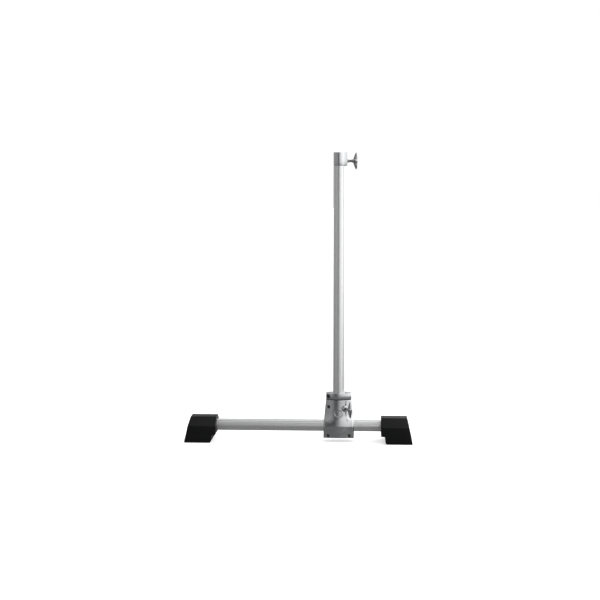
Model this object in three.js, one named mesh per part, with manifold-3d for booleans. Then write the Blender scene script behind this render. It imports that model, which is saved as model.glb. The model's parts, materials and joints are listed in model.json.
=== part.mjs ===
// Flag pole stand: one horizontal base tube on two moulded feet, a two-shell clamp housing
// that grips it, and an upright mast tube with a pole collar and wing screw at its top.
// Millimetres. +X runs along the base tube, -Y is the front, +Z is up. The origin is on the
// floor under the middle of the base tube.

import * as THREE from 'three';
import { mergeVertices } from 'three/addons/utils/BufferGeometryUtils.js';
import Module from 'manifold-3d';

const wasm = await Module();
wasm.setup();

// ---------------------------------------------------------------- driving dimensions

const FIT = 0.3;                                  // clearance between pieces that touch

const TUBE = { radius: 20, wall: 3, grooveWidth: 3.6, grooveDepth: 1 };
const BASE_TUBE = { axisZ: 54, halfLength: 343 };

const FOOT = {
  innerX: 281, length: 108, topLength: 87, height: 85, halfDepth: 65, topHalfDepth: 24,
  shoulderZ: 58, stepLength: 13, stepZ: 27, wall: 4, soleThickness: 4, socketRadius: 25,
};

const MAST_X = 137;                               // mast axis, right of the middle
const MAST = { bottomZ: 82, topZ: 939, seatZ: 100, seatRadius: 14 };

const HOUSING = {
  bottomZ: 15, topZ: 145.5, halfWidth: 52, kneeZ: 70, draft: 0.012, taper: 0.085,
  edgeDepth: 9, bulgeDepth: 28.5, bulgeReach: 52, bossRadius: 30, shoulder: 50, edgeBlend: 2.6, blend: 6,
  edgeRadius: 5, rimRadius: 2, lean: 0.03, bossLean: 0.05,
};
const LINER = { bottomZ: 80, wall: 1.6, plate: 1.4, inset: 1.2 };
const RING = { bottomZ: 147.5, height: 20, halfWidth: 43.4, slit: 2.4 };

const M6 = { shank: 3, head: 5, headHeight: 6, socket: 2.9, nut: 5.7, nutHeight: 5 };
const M8 = { shank: 4, head: 6.5, headHeight: 8, socket: 3.5, nut: 7.4, nutHeight: 6.5 };
const HEAD_SINK = 3.5;                             // screw heads sit this far below the face

const LOWER_SCREW_X = 36, LOWER_SCREW_Z = 22.5;   // the two screws under the base tube
const UPPER_SCREW_X = -34.5, UPPER_SCREW_Z = 121; // the screw beside the mast
const RING_BOLT_X = -36;
const DOWELS = [[36.5, 121], [-43, 92]];          // x and z, from the mast axis

const COLLAR = { topZ: 984, bore: 15, lugReach: 27, lugHalfWidth: 10, spigot: 30, pinZ: 922 };

// A wing screw: radii from the screw's own axis, distances along it from the mast axis.
const WING = {
  stud: 3.85, insertBore: 4.15, insert: 6.5, insertBoss: 5.3, pad: 3.8, padLength: 4.6,
  knobLength: 17, halfSpan: 29, hub: 7, neck: 5, thickness: 7,
};
const LOWER_WING = { z: 116, angle: -50, bossRadius: 9.5, bossEnd: 38, padTip: 20.3, knob: 50 };
const TOP_WING = { z: 955, insertStart: 20.6, bossEnd: 33, padTip: 15.6, knob: 44 };

// ---------------------------------------------------------------- solids

const UP = new THREE.Vector3(0, 1, 0);

// A closed manifold solid from a three.js geometry.
function solid(geometry) {
  const bare = geometry.clone();
  bare.deleteAttribute('normal');
  bare.deleteAttribute('uv');
  const merged = mergeVertices(bare, 1e-4);
  const index = merged.index.array;
  const kept = [];
  for (let i = 0; i < index.length; i += 3) {
    const [a, b, c] = [index[i], index[i + 1], index[i + 2]];
    if (a !== b && b !== c && c !== a) kept.push(a, b, c);
  }
  return new wasm.Manifold(new wasm.Mesh({
    numProp: 3,
    vertProperties: merged.attributes.position.array,
    triVerts: new Uint32Array(kept),
  }));
}

// The three.js geometry of a manifold solid.
function geometryOf(body) {
  const mesh = body.getMesh();
  const positions = new Float32Array(mesh.numVert * 3);
  for (let i = 0; i < mesh.numVert; i += 1) {
    for (let k = 0; k < 3; k += 1) positions[i * 3 + k] = mesh.vertProperties[i * mesh.numProp + k];
  }
  const geometry = new THREE.BufferGeometry();
  geometry.setAttribute('position', new THREE.BufferAttribute(positions, 3));
  geometry.setIndex(new THREE.BufferAttribute(new Uint32Array(mesh.triVerts), 1));
  geometry.computeVertexNormals();
  return geometry;
}

const point = (x, y, z) => new THREE.Vector3(x, y, z);

// A round rod, or a cone where the two radii differ, from one point to another.
function rod(from, to, radius, sides = 24, endRadius = radius) {
  const length = from.distanceTo(to);
  const geometry = new THREE.CylinderGeometry(endRadius, radius, length, sides);
  const direction = to.clone().sub(from).normalize();
  geometry.applyQuaternion(new THREE.Quaternion().setFromUnitVectors(UP, direction));
  const middle = from.clone().add(to).multiplyScalar(0.5);
  return solid(geometry.translate(middle.x, middle.y, middle.z));
}

const rodX = (x0, x1, y, z, radius, sides) => rod(point(x0, y, z), point(x1, y, z), radius, sides);
const rodY = (x, y0, y1, z, radius, sides) => rod(point(x, y0, z), point(x, y1, z), radius, sides);
const rodZ = (x, y, z0, z1, radius, sides) => rod(point(x, y, z0), point(x, y, z1), radius, sides);

function block(low, high) {
  const size = high.clone().sub(low);
  const middle = high.clone().add(low).multiplyScalar(0.5);
  return solid(new THREE.BoxGeometry(size.x, size.y, size.z).translate(middle.x, middle.y, middle.z));
}

// A shape drawn in X and Y, drawn out along Z.
function prismZ(shape, z0, z1, curveSegments = 8) {
  const geometry = new THREE.ExtrudeGeometry(shape, { depth: z1 - z0, bevelEnabled: false, curveSegments });
  return solid(geometry.translate(0, 0, z0));
}

// A shape drawn in X and Z, drawn out along Y.
function prismY(shape, halfDepth, curveSegments = 6) {
  const depth = 2 * halfDepth;
  const geometry = new THREE.ExtrudeGeometry(shape, { depth, bevelEnabled: false, curveSegments });
  return solid(geometry.rotateX(Math.PI / 2).translate(0, halfDepth, 0));
}

// A shape drawn in Y and Z, drawn out along X.
function prismX(shape, x0, x1, curveSegments = 6) {
  const geometry = new THREE.ExtrudeGeometry(shape, { depth: x1 - x0, bevelEnabled: false, curveSegments });
  const turn = new THREE.Matrix4().makeBasis(point(0, 1, 0), point(0, 0, 1), point(1, 0, 0));
  return solid(geometry.applyMatrix4(turn).translate(x0, 0, 0));
}

// ---------------------------------------------------------------- materials and nodes

const FINISHES = {
  anodised: { color: 0xc2c5c6, roughness: 0.3, metalness: 1 },
  cast: { color: 0xaeb3b6, roughness: 0.22, metalness: 1 },
  knob: { color: 0x8b8d90, roughness: 0.18, metalness: 1 },
  steel: { color: 0x9a9c9e, roughness: 0.32, metalness: 1 },
  blackened: { color: 0x2a2a2c, roughness: 0.35, metalness: 1 },
  black: { color: 0x161616, roughness: 0.45, metalness: 0 },
  nylon: { color: 0x1b1c1d, roughness: 0.6, metalness: 0 },
  rubber: { color: 0x101010, roughness: 0.85, metalness: 0 },
};

function part(name, body, finish) {
  const mesh = new THREE.Mesh(geometryOf(body), new THREE.MeshStandardMaterial(FINISHES[finish]));
  mesh.name = name;
  return mesh;
}

// ---------------------------------------------------------------- tubes

// The tube's outline: round, with four shallow grooves on its diagonals.
function tubeShape() {
  const { radius, wall, grooveWidth, grooveDepth } = TUBE;
  const half = Math.asin(grooveWidth / 2 / radius);
  const quarter = Math.PI / 2;
  const shape = new THREE.Shape();
  for (let i = 0; i < 4; i += 1) {
    const groove = quarter * (i + 0.5);
    shape.absarc(0, 0, radius, groove - quarter + half, groove - half, false);
    for (const [side, depth] of [[-0.45, 0.8], [0, 1], [0.45, 0.8]]) {
      const angle = groove + side * half;
      const r = radius - depth * grooveDepth;
      shape.lineTo(r * Math.cos(angle), r * Math.sin(angle));
    }
  }
  shape.closePath();
  const hole = new THREE.Path();
  hole.absarc(0, 0, radius - wall, 0, 2 * Math.PI, true);
  shape.holes.push(hole);
  return shape;
}

function baseTube() {
  const { axisZ, halfLength } = BASE_TUBE;
  let body = prismX(tubeShape(), -halfLength, halfLength, 9).translate([0, 0, axisZ]);
  for (const side of [-1, 1]) {
    body = body.subtract(rodZ(side * footScrewX(), 0, axisZ - TUBE.radius - 2, axisZ, 2.4, 12));
  }
  return part('base_tube', body, 'anodised');
}

function mastTube() {
  let body = prismZ(tubeShape(), MAST.bottomZ, MAST.topZ, 9);
  body = body.subtract(rodY(0, 0, TUBE.radius + 2, COLLAR.pinZ, 2.3, 12));
  return part('mast_tube', body, 'anodised');
}

// The mast's foot: it stands on the base tube, and its flat top is the floor of the flag pole socket.
function mastPlug() {
  const { bottomZ, seatZ, seatRadius } = MAST;
  const tubeTop = BASE_TUBE.axisZ + TUBE.radius;
  const inner = TUBE.radius - TUBE.wall - FIT;
  const flange = rodZ(0, 0, tubeTop + FIT, bottomZ - FIT, TUBE.radius - 1, 32);
  const stem = rodZ(0, 0, bottomZ - 1, seatZ - (inner - seatRadius), inner, 32);
  const nose = rod(point(0, 0, seatZ - (inner - seatRadius)), point(0, 0, seatZ), inner, 32, seatRadius);
  return part('mast_foot_plug', flange.add(stem).add(nose), 'nylon');
}

// ---------------------------------------------------------------- feet

const footScrewX = () => FOOT.innerX + 34;

// The foot seen from the front, from its inner end at x = 0, drawn in by an inset.
function footSide(inset) {
  const { length, topLength, height, stepLength, stepZ } = FOOT;
  const slant = inset * 1.04;
  const shape = new THREE.Shape();
  shape.moveTo(inset, height - inset);
  shape.lineTo(inset, stepZ + inset + 3);
  shape.quadraticCurveTo(inset, stepZ + inset, inset + 3, stepZ + inset);
  shape.lineTo(stepLength + inset, stepZ + inset);
  shape.lineTo(stepLength + inset + 3, 9);
  shape.quadraticCurveTo(stepLength + inset + 4, 0, stepLength + inset + 13, 0);
  shape.lineTo(length - slant - 13, 0);
  shape.quadraticCurveTo(length - slant, 0, length - slant, 11);
  shape.lineTo(topLength - slant + 1, height - inset - 3);
  shape.quadraticCurveTo(topLength - slant, height - inset, topLength - slant - 3, height - inset);
  shape.closePath();
  return shape;
}

// The foot seen from its end: a flat top, sloping shoulders and upright sides.
function footEnd(inset) {
  const { height, halfDepth, topHalfDepth, shoulderZ } = FOOT;
  const side = halfDepth - inset;
  const shape = new THREE.Shape();
  shape.moveTo(-side + 6, 0);
  shape.lineTo(side - 6, 0);
  shape.quadraticCurveTo(side - 1, 0, side - 1, 6);
  shape.lineTo(side, shoulderZ - inset - 3);
  shape.quadraticCurveTo(side, shoulderZ - inset, side - 3, shoulderZ - inset + 2);
  shape.lineTo(topHalfDepth + 3, height - inset - 2);
  shape.quadraticCurveTo(topHalfDepth, height - inset, topHalfDepth - 3, height - inset);
  shape.lineTo(3 - topHalfDepth, height - inset);
  shape.quadraticCurveTo(-topHalfDepth, height - inset, -topHalfDepth - 3, height - inset - 2);
  shape.lineTo(3 - side, shoulderZ - inset + 2);
  shape.quadraticCurveTo(-side, shoulderZ - inset, -side, shoulderZ - inset - 3);
  shape.lineTo(1 - side, 6);
  shape.quadraticCurveTo(1 - side, 0, 6 - side, 0);
  shape.closePath();
  return shape;
}

const footForm = (inset) => prismY(footSide(inset), FOOT.halfDepth + 5)
  .intersect(prismX(footEnd(inset), -5, FOOT.length + 5));

// A slab of the foot between two heights.
const between = (z0, z1) =>
  block(point(-5, -FOOT.halfDepth - 5, z0), point(FOOT.length + 5, FOOT.halfDepth + 5, z1));

function footShell() {
  const { wall, soleThickness, height, socketRadius, innerX } = FOOT;
  const form = footForm(0);
  const { axisZ, halfLength } = BASE_TUBE;
  const tubeEnd = halfLength - innerX;
  let body = form.subtract(footForm(wall));
  const ribs = [24, 50].map((x) => block(point(x, -70, 14), point(x + 3, 70, height - 1)).intersect(form));
  for (const rib of ribs) body = body.add(rib);
  body = body.add(rodX(1, tubeEnd + 4, 0, axisZ, socketRadius, 32));
  body = body.subtract(rodX(-1, tubeEnd + FIT, 0, axisZ, TUBE.radius + FIT, 40));
  body = body.subtract(rodZ(footScrewX() - innerX, 0, 0, axisZ, 2.4, 12));
  return body.intersect(between(soleThickness + FIT, height + 5));
}

function footSole() {
  return footForm(0).intersect(between(-1, FOOT.soleThickness));
}

// A pan-head screw up through the socket's floor into the tube.
function footScrew() {
  const socketFloor = BASE_TUBE.axisZ - FOOT.socketRadius;
  const x = footScrewX() - FOOT.innerX;
  const head = rodZ(x, 0, socketFloor - 3 - FIT, socketFloor - FIT, 4.6, 18);
  const slot = block(point(x - 5, -0.6, socketFloor - 4), point(x + 5, 0.6, socketFloor - 2));
  return head.subtract(slot).add(rodZ(x, 0, socketFloor - 1, socketFloor + 14, 2, 12));
}

function foot(side) {
  const group = new THREE.Group();
  group.add(part(`${side}_foot_shell`, footShell(), 'black'));
  group.add(part(`${side}_foot_sole`, footSole(), 'rubber'));
  group.add(part(`${side}_foot_screw`, footScrew(), 'steel'));
  group.position.x = side === 'right' ? FOOT.innerX : -FOOT.innerX;
  group.rotation.z = side === 'right' ? 0 : Math.PI;
  return group;
}

// ---------------------------------------------------------------- clamp housing

const smoothMax = (a, b, k) => Math.max(a, b) + k * Math.log1p(Math.exp(-Math.abs(a - b) / k));

// How far a rounded edge of a given radius has fallen away at a distance from the edge.
const rolled = (distance, radius) => (distance >= radius ? 0
  : radius - Math.sqrt(radius ** 2 - (radius - Math.max(distance, 0)) ** 2));

const housingHalfWidth = (z) => HOUSING.halfWidth - HOUSING.draft * (z - HOUSING.bottomZ)
  - HOUSING.taper * Math.max(0, z - HOUSING.kneeZ);

// The upper part of the outer face: one wide oval sweep over the mast, from edge to edge.
function bulgeDepth(x) {
  const sweep = HOUSING.bulgeDepth * Math.sqrt(Math.max(0, 1 - (x / HOUSING.bulgeReach) ** 2));
  return smoothMax(HOUSING.edgeDepth, sweep, HOUSING.edgeBlend);
}

// The lower part: a half round over the base tube that leans in below it, and runs on up as a slope.
function bossDepth(z) {
  const { bossRadius, shoulder, bossLean } = HOUSING;
  const above = Math.max(0, z - BASE_TUBE.axisZ), below = Math.max(0, BASE_TUBE.axisZ - z);
  const turn = THREE.MathUtils.degToRad(shoulder);
  const rest = above - bossRadius * Math.sin(turn);
  if (rest > 0) return bossRadius * Math.cos(turn) - rest * Math.tan(turn);
  return Math.sqrt(bossRadius ** 2 - above ** 2) - bossLean * below;
}

// Distance of the housing's outer face from the parting plane.
function housingDepth(x, z) {
  const { edgeRadius, rimRadius, bottomZ, topZ, blend, kneeZ, lean } = HOUSING;
  const upper = bulgeDepth(x) - lean * Math.max(0, z - kneeZ);
  const face = smoothMax(upper, bossDepth(z), blend);
  const rim = Math.min(z - bottomZ, topZ - z);
  return face - rolled(housingHalfWidth(z) - Math.abs(x), edgeRadius) - rolled(rim, rimRadius);
}

// Steps from -1 to 1 that lie closer together near the ends.
const spread = (count) => Array.from({ length: count + 1 }, (_, i) => {
  const t = (2 * i) / count - 1;
  return 0.5 * t + 0.5 * Math.sin((Math.PI / 2) * t);
});

// The whole housing's outer form: two curved faces joined round their rim.
function housingForm() {
  const { bottomZ, topZ } = HOUSING;
  const columns = spread(34);
  const rows = spread(26);
  const wide = columns.length;
  const high = rows.length;
  const positions = [];
  for (const face of [-1, 1]) {
    for (const row of rows) {
      const z = (bottomZ + topZ) / 2 + (row * (topZ - bottomZ)) / 2;
      for (const column of columns) {
        const x = column * housingHalfWidth(z);
        positions.push(x, face * housingDepth(x, z), z);
      }
    }
  }
  const at = (face, row, column) => (face * high + row) * wide + column;
  const index = [];
  const quad = (a, b, c, d) => index.push(a, b, c, a, c, d);
  for (let r = 0; r + 1 < high; r += 1) {
    for (let c = 0; c + 1 < wide; c += 1) {
      quad(at(0, r, c), at(0, r, c + 1), at(0, r + 1, c + 1), at(0, r + 1, c));
      quad(at(1, r, c), at(1, r + 1, c), at(1, r + 1, c + 1), at(1, r, c + 1));
    }
    quad(at(0, r, wide - 1), at(1, r, wide - 1), at(1, r + 1, wide - 1), at(0, r + 1, wide - 1));
    quad(at(1, r, 0), at(0, r, 0), at(0, r + 1, 0), at(1, r + 1, 0));
  }
  for (let c = 0; c + 1 < wide; c += 1) {
    quad(at(0, 0, c), at(1, 0, c), at(1, 0, c + 1), at(0, 0, c + 1));
    quad(at(0, high - 1, c), at(0, high - 1, c + 1), at(1, high - 1, c + 1), at(1, high - 1, c));
  }
  const geometry = new THREE.BufferGeometry();
  geometry.setAttribute('position', new THREE.Float32BufferAttribute(positions, 3));
  geometry.setIndex(index);
  return solid(geometry);
}

// The three screws that draw the shells together: place and the depth of the face there.
const HOUSING_SCREWS = [
  { place: 'lower_left', x: -LOWER_SCREW_X, z: LOWER_SCREW_Z },
  { place: 'lower_right', x: LOWER_SCREW_X, z: LOWER_SCREW_Z },
  { place: 'upper_left', x: UPPER_SCREW_X, z: UPPER_SCREW_Z },
].map((screw) => ({ ...screw, face: housingDepth(screw.x, screw.z) }));

// The head's seat, measured from the parting plane.
const seatDepth = (face, size) => face - HEAD_SINK - size.headHeight;

function shellCavities() {
  const { topZ, bottomZ } = HOUSING;
  const liner = TUBE.radius + FIT + LINER.wall + FIT;
  let cut = rodZ(0, 0, BASE_TUBE.axisZ, topZ + 5, liner, 40);
  cut = cut.add(rodX(-60, 60, 0, BASE_TUBE.axisZ, TUBE.radius + FIT, 40));
  cut = cut.add(block(point(27, -12, 84), point(42, 12, 109)));
  cut = cut.add(block(point(-37, -12, 84), point(-27, 12, 109)));
  cut = cut.add(block(point(-26, -26, bottomZ + 4), point(26, 26, 29)));
  for (const [x, z] of DOWELS) cut = cut.add(rodY(x, -10, 10, z, 2.8, 16));
  return cut;
}

// A hexagonal bar along Y, for nuts and their pockets.
const hexY = (x, y0, y1, z, radius) => rodY(x, y0, y1, z, radius, 6);

function frontShell(form, cavities) {
  const bossEnd = LOWER_WING.bossEnd;
  const turn = THREE.MathUtils.degToRad(LOWER_WING.angle);
  const along = (r) => point(r, 0, 0).applyAxisAngle(point(0, 0, 1), turn).setZ(LOWER_WING.z);
  let body = form.intersect(block(point(-60, -60, 0), point(60, -FIT / 2, 200)));
  body = body.add(rod(along(24), along(bossEnd), LOWER_WING.bossRadius + 1, 32, LOWER_WING.bossRadius));
  body = body.subtract(cavities);
  body = body.subtract(rod(along(10), along(bossEnd + 5), WING.insert + FIT, 32));
  for (const { x, z, face } of HOUSING_SCREWS) {
    body = body.subtract(rodY(x, -60, 5, z, M6.shank + FIT, 20));
    body = body.subtract(rodY(x, -60, -seatDepth(face, M6), z, M6.head + 1.2, 28));
  }
  return part('front_housing_shell', body, 'cast');
}

function rearShell(form, cavities) {
  let body = form.intersect(block(point(-60, FIT / 2, 0), point(60, 60, 200))).subtract(cavities);
  for (const { x, z, face } of HOUSING_SCREWS) {
    body = body.subtract(rodY(x, -5, 60, z, M6.shank + FIT, 20));
    body = body.subtract(hexY(x, seatDepth(face, M6), 60, z, M6.nut + 0.6));
  }
  return part('rear_housing_shell', body, 'cast');
}

// A socket-head cap screw along Y, its head to the front.
function capScrew(name, x, z, seat, tip, size) {
  const top = seat + size.headHeight;
  let body = rodY(x, -top, -seat - FIT, z, size.head, 28);
  body = body.subtract(rodY(x, -top - 1, -top + size.headHeight * 0.55, z, size.socket, 6));
  body = body.add(rodY(x, -seat - 1, tip, z, size.shank, 18));
  return part(name, body, 'blackened');
}

function nut(name, x, z, seat, size) {
  const low = seat + FIT;
  const body = hexY(x, low, low + size.nutHeight, z, size.nut)
    .subtract(rodY(x, low - 1, low + size.nutHeight + 1, z, size.shank + FIT, 18));
  return part(name, body, 'blackened');
}

function dowels() {
  return DOWELS.map(([x, z], i) => part(`dowel_pin_${i + 1}`, rodY(x, -9.5, 9.5, z, 2.5, 16), 'steel'));
}

// The outline of the housing's upper end in plan, drawn in by an inset.
function plateShape(halfWidth, inset) {
  const count = 30;
  const front = [];
  for (const step of spread(count)) {
    const x = step * (halfWidth - inset);
    const edge = rolled(halfWidth - inset - Math.abs(x), HOUSING.edgeRadius);
    front.push(new THREE.Vector2(x, bulgeDepth(x) - inset - edge));
  }
  const rear = front.map((p) => new THREE.Vector2(p.x, -p.y)).reverse();
  return new THREE.Shape([...rear.reverse(), ...front.reverse()]);
}

// A split sleeve between mast and housing, with a plate that the clamp ring turns on.
function mastLiner() {
  const bore = TUBE.radius + FIT;
  const plateZ = HOUSING.topZ + FIT;
  const pin = THREE.MathUtils.degToRad(LOWER_WING.angle);
  let body = rodZ(0, 0, LINER.bottomZ, plateZ + 0.5, bore + LINER.wall, 40);
  const width = housingHalfWidth(HOUSING.topZ);
  body = body.add(prismZ(plateShape(width, LINER.inset), plateZ, plateZ + LINER.plate));
  body = body.subtract(rodZ(0, 0, LINER.bottomZ - 1, plateZ + 5, bore, 40));
  const from = point(10 * Math.cos(pin), 10 * Math.sin(pin), LOWER_WING.z);
  const to = point(30 * Math.cos(pin), 30 * Math.sin(pin), LOWER_WING.z);
  body = body.subtract(rod(from, to, WING.pad + 2 * FIT, 20));
  body = body.subtract(block(point(0, 0, 0), point(60, 1.5, 200)));
  return part('mast_liner', body, 'nylon');
}

function housing() {
  const form = housingForm();
  const cavities = shellCavities();
  const group = new THREE.Group();
  group.add(frontShell(form, cavities), rearShell(form, cavities), mastLiner(), ...dowels());
  for (const { place, x, z, face } of HOUSING_SCREWS) {
    const seat = seatDepth(face, M6);
    group.add(capScrew(`housing_screw_${place}`, x, z, seat, seat + FIT + M6.nutHeight + 1, M6));
    group.add(nut(`housing_nut_${place}`, x, z, seat, M6));
  }
  return group;
}

// ---------------------------------------------------------------- clamp ring

function clampRing() {
  const { bottomZ, height, halfWidth, slit } = RING;
  const middleZ = bottomZ + height / 2;
  const seat = seatDepth(bulgeDepth(RING_BOLT_X), M8);
  let body = prismZ(plateShape(halfWidth, 0), bottomZ, bottomZ + height);
  body = body.subtract(rodZ(0, 0, bottomZ - 1, bottomZ + height + 1, TUBE.radius + FIT, 48));
  body = body.subtract(block(point(-60, -slit / 2, bottomZ - 1), point(-10, slit / 2, bottomZ + height + 1)));
  body = body.subtract(rodY(RING_BOLT_X, -60, 60, middleZ, M8.shank + FIT, 20));
  body = body.subtract(rodY(RING_BOLT_X, -60, -seat, middleZ, M8.head + 0.7, 28));
  body = body.subtract(hexY(RING_BOLT_X, seat, 60, middleZ, M8.nut + 0.5));
  const group = new THREE.Group();
  group.add(part('clamp_ring', body, 'cast'));
  group.add(capScrew('clamp_ring_bolt', RING_BOLT_X, middleZ, seat, seat + M8.nutHeight + 1.5, M8));
  group.add(nut('clamp_ring_nut', RING_BOLT_X, middleZ, seat, M8));
  return group;
}

// ---------------------------------------------------------------- pole collar

function collarShape() {
  const { lugReach, lugHalfWidth } = COLLAR;
  const meet = THREE.MathUtils.degToRad(42);
  const shape = new THREE.Shape();
  shape.absarc(0, 0, TUBE.radius, meet, 2 * Math.PI - meet, false);
  shape.lineTo(lugReach - 2, -lugHalfWidth);
  shape.quadraticCurveTo(lugReach, -lugHalfWidth, lugReach, 2 - lugHalfWidth);
  shape.lineTo(lugReach, lugHalfWidth - 2);
  shape.quadraticCurveTo(lugReach, lugHalfWidth, lugReach - 2, lugHalfWidth);
  shape.closePath();
  return shape;
}

function poleCollar() {
  const { topZ, bore, spigot, pinZ } = COLLAR;
  const low = MAST.topZ + FIT;
  let body = prismZ(collarShape(), low, topZ, 20);
  body = body.add(rodZ(0, 0, low - spigot, low + 1, TUBE.radius - TUBE.wall - FIT, 40));
  body = body.subtract(rodZ(0, 0, low - spigot - 1, topZ + 1, bore, 40));
  body = body.subtract(rod(point(0, 0, topZ - 2), point(0, 0, topZ + 1), bore, 40, bore + 3));
  body = body.subtract(rodX(10, 30, 0, TOP_WING.z, WING.insert + FIT, 24));
  body = body.subtract(rodY(0, 0, TUBE.radius, pinZ, 2.3, 12));
  return part('pole_collar', body, 'cast');
}

// A spring pin at the rear that holds the collar's spigot in the tube.
function collarPin() {
  return part('collar_pin', rodY(0, COLLAR.bore + FIT, TUBE.radius - 0.2, COLLAR.pinZ, 2, 12), 'steel');
}

// ---------------------------------------------------------------- wing screws

// Along local +X: the threaded insert, a bush that is fixed in the boss.
function insert(name, start, shoulder, end) {
  let body = rodX(start, shoulder, 0, 0, WING.insert, 28);
  if (end > shoulder) body = body.add(rodX(shoulder - 1, end, 0, 0, WING.insertBoss, 28));
  return part(name, body.subtract(rodX(start - 1, end + 1, 0, 0, WING.insertBore, 24)), 'steel');
}

// A two-winged knob: a lens-shaped wing that is deepest at the hub, on a tapering neck.
function wingKnob(name, start) {
  const { knobLength, halfSpan, hub, neck, thickness, stud } = WING;
  const shape = new THREE.Shape();
  shape.moveTo(0, -4);
  shape.quadraticCurveTo(4, -16, 9, -halfSpan + 1);
  shape.quadraticCurveTo(10.5, -halfSpan, 12.5, -halfSpan + 1);
  shape.quadraticCurveTo(knobLength, -12, knobLength, 0);
  shape.quadraticCurveTo(knobLength, 12, 12.5, halfSpan - 1);
  shape.quadraticCurveTo(10.5, halfSpan, 9, halfSpan - 1);
  shape.quadraticCurveTo(4, 16, 0, 4);
  shape.closePath();
  const wing = prismY(shape, thickness / 2, 8);
  const cone = rod(point(-4, 0, 0), point(4, 0, 0), neck, 28, hub);
  const barrel = rod(point(3.9, 0, 0), point(knobLength - 3, 0, 0), hub, 28);
  const cap = rod(point(knobLength - 3.1, 0, 0), point(knobLength, 0, 0), hub, 28, hub - 2);
  const body = wing.add(cone).add(barrel).add(cap).translate([start, 0, 0]);
  return part(name, body.subtract(rodX(start - 10, start + 10 + FIT, 0, 0, stud + FIT, 24)), 'knob');
}

function wingScrew(name, padTip, knobStart) {
  const padEnd = padTip + WING.padLength;
  const stud = rodX(padEnd + FIT, knobStart + 10, 0, 0, WING.stud, 24);
  return [
    part(`${name}_pad`, rodX(padTip, padEnd, 0, 0, WING.pad, 24), 'nylon'),
    part(`${name}_stud`, stud, 'blackened'),
    wingKnob(`${name}_knob`, knobStart),
  ];
}

function lowerWingScrew() {
  const group = new THREE.Group();
  const { z, angle, bossEnd, padTip, knob } = LOWER_WING;
  const start = TUBE.radius + 2 * FIT + LINER.wall + 3;
  group.add(insert('lower_insert', start, bossEnd + 1.5, bossEnd + 1.5), ...wingScrew('lower', padTip, knob));
  group.position.z = z;
  group.rotation.z = THREE.MathUtils.degToRad(angle);
  return group;
}

function topWingScrew() {
  const group = new THREE.Group();
  const { z, insertStart, bossEnd, padTip, knob } = TOP_WING;
  group.add(insert('top_insert', insertStart, COLLAR.lugReach, bossEnd), ...wingScrew('top', padTip, knob));
  group.position.z = z;
  return group;
}

// ---------------------------------------------------------------- the stand

const stand = new THREE.Group();
stand.add(baseTube(), foot('left'), foot('right'));

const upright = new THREE.Group();
upright.position.x = MAST_X;
upright.add(housing(), lowerWingScrew(), clampRing());
upright.add(mastTube(), mastPlug(), poleCollar(), collarPin(), topWingScrew());
stand.add(upright);

export default stand;
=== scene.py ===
import json
import math

import bmesh
import bpy
from mathutils import Matrix, Vector


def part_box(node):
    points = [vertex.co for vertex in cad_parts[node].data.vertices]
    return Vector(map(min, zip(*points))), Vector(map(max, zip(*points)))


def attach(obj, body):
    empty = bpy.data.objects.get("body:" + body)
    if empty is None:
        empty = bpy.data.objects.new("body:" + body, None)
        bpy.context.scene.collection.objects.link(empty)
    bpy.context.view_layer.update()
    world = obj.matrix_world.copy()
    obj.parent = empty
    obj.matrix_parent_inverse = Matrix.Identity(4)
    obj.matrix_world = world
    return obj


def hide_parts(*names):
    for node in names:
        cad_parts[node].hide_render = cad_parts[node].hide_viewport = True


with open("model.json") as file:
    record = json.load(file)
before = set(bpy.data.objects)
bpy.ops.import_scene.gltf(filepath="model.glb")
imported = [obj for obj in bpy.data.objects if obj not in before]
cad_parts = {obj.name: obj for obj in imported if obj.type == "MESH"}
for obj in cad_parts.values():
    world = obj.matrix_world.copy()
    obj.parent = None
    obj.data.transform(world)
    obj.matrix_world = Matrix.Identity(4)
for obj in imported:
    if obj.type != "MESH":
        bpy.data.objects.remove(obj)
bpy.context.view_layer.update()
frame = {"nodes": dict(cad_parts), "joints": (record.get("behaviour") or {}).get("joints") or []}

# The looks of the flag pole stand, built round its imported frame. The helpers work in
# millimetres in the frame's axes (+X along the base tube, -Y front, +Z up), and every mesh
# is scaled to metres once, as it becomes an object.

MM = 0.001


# ---------------- measures of the frame

def box_mm(node):
    """Lowest and highest corner of a CAD node, in millimetres."""
    low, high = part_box(node)
    return low / MM, high / MM


def middle_mm(node):
    """The middle of a CAD node's box, in millimetres."""
    low, high = box_mm(node)
    return (low + high) / 2


BASE_AXIS_Z = middle_mm("base_tube").z
BASE_LOW, BASE_HIGH = box_mm("base_tube")
MAST_LOW, MAST_HIGH = box_mm("mast_tube")
MAST_X = (MAST_LOW.x + MAST_HIGH.x) / 2
TUBE_RADIUS = (MAST_HIGH.x - MAST_LOW.x) / 2
TUBE_WALL = 3.0
FIT = 0.3                                        # gap between touching pieces
LINER_WALL, LINER_PLATE, LINER_INSET = 1.6, 1.4, 1.2
M6_HOLE, M8_HOLE, STUD_HOLE = 3.3, 4.3, 4.15     # radii
FOOT_SCREW_HOLE, DOWEL_HOLE, PIN_HOLE = 2.4, 2.8, 2.3
HEX_TURN = math.pi / 6                           # stands a hexagon on a flat
UP = Vector((0, 0, 1))
MAST_AXIS = Vector((MAST_X, 0, 0))


# ---------------- mesh helpers

def rotation_to(direction):
    """Turns local +Z to a direction, keeping local X level where it can."""
    z = Vector(direction).normalized()
    side = UP if abs(z.z) < 0.9 else Vector((1, 0, 0))
    x = side.cross(z).normalized()
    y = z.cross(x)
    return Matrix((x, y, z)).transposed().to_4x4()


def axis_frame(origin, direction):
    """A local frame at origin whose +Z is the direction."""
    return Matrix.Translation(Vector(origin)) @ rotation_to(direction)


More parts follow.
